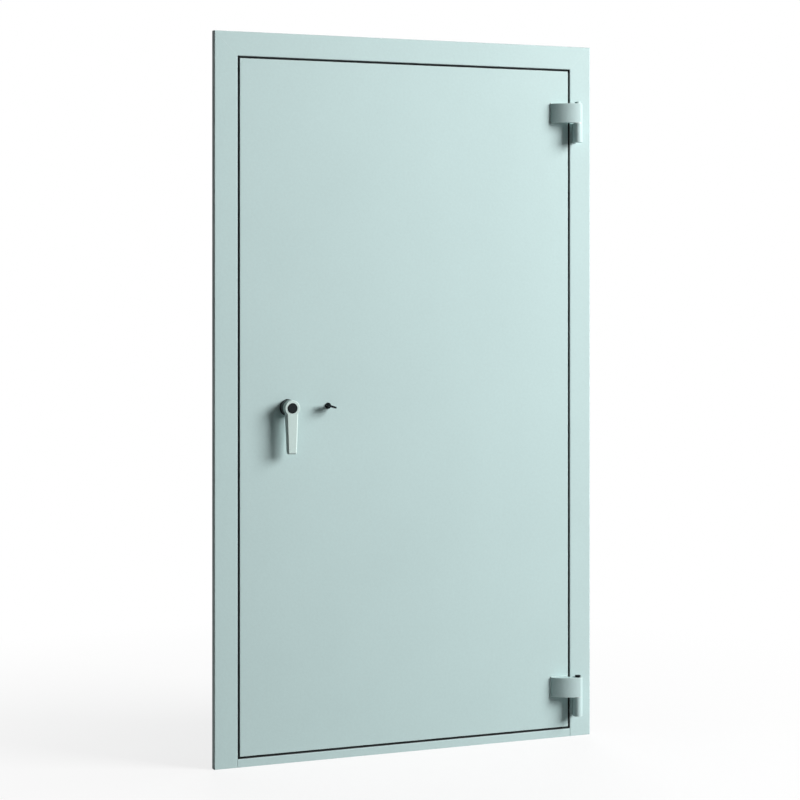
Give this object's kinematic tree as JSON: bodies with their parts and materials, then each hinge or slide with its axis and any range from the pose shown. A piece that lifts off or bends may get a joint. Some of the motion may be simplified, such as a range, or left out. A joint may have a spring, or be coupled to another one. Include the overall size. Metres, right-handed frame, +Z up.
{
  "type": "security door",
  "caption": "Hinged steel strongroom door in a casing frame, with lever handle, key, locking bolts and lift-off hinges.",
  "frame": {"origin": "middle of the sill's underside on the plane of the wall's face", "axes": "+X right seen from the attack side, +Y into the wall, +Z up"},
  "size_m": [1.2, 0.145, 2.1],
  "materials": {
    "grey_paint": "satin powder coat",
    "fire_seal": "matt",
    "cast_filling": "matt",
    "bright_steel": "turned",
    "handle_casting": "satin",
    "black_plastic": "matt"
  },
  "bodies": {
    "root": {"frame_lock_jamb": "grey_paint", "frame_hinge_jamb": "grey_paint", "frame_head": "grey_paint", "frame_sill": "grey_paint", "seal_lock_side": "fire_seal", "seal_hinge_side": "fire_seal", "seal_head": "fire_seal", "seal_sill": "fire_seal", "hinge_upper_frame_knuckle": "grey_paint", "hinge_upper_pin": "grey_paint", "hinge_upper_washer": "bright_steel", "hinge_lower_frame_knuckle": "grey_paint", "hinge_lower_pin": "bright_steel", "hinge_lower_washer": "bright_steel"},
    "leaf": {"leaf_front_pan": "grey_paint", "leaf_lock_stile": "grey_paint", "leaf_hinge_stile": "grey_paint", "leaf_top_rail": "grey_paint", "leaf_bottom_rail": "grey_paint", "leaf_filling": "cast_filling", "leaf_back_cover": "grey_paint", "handle_rosette": "black_plastic", "key_escutcheon": "bright_steel", "lock_bolt_lower": "bright_steel", "lock_bolt_middle": "bright_steel", "lock_bolt_upper": "bright_steel", "dog_bolt_lower": "bright_steel", "dog_bolt_middle": "bright_steel", "dog_bolt_upper": "bright_steel", "hinge_upper_leaf_knuckle": "grey_paint", "hinge_lower_leaf_knuckle": "grey_paint"},
    "handle": {"handle_lever": "handle_casting", "handle_cap": "black_plastic", "handle_spindle": "bright_steel"},
    "key": {"key_shank": "bright_steel", "key_bow": "bright_steel"}
  },
  "joints": [
    {"name": "leaf_swing", "type": "hinge", "parent": "root", "child": "leaf", "pos_m": [0.542, -0.05, 1], "axis": [0, 0, 1], "range_deg": [0, 180]},
    {"name": "handle_turn", "type": "hinge", "parent": "leaf", "child": "handle", "pos_m": [-0.38, -0.02, 1.0235], "axis": [0, 1, 0], "range_deg": [0, 90]},
    {"name": "key_turn", "type": "hinge", "parent": "leaf", "child": "key", "pos_m": [-0.256, -0.02, 1.0255], "axis": [0, 1, 0], "range_deg": [0, 180]}
  ]
}
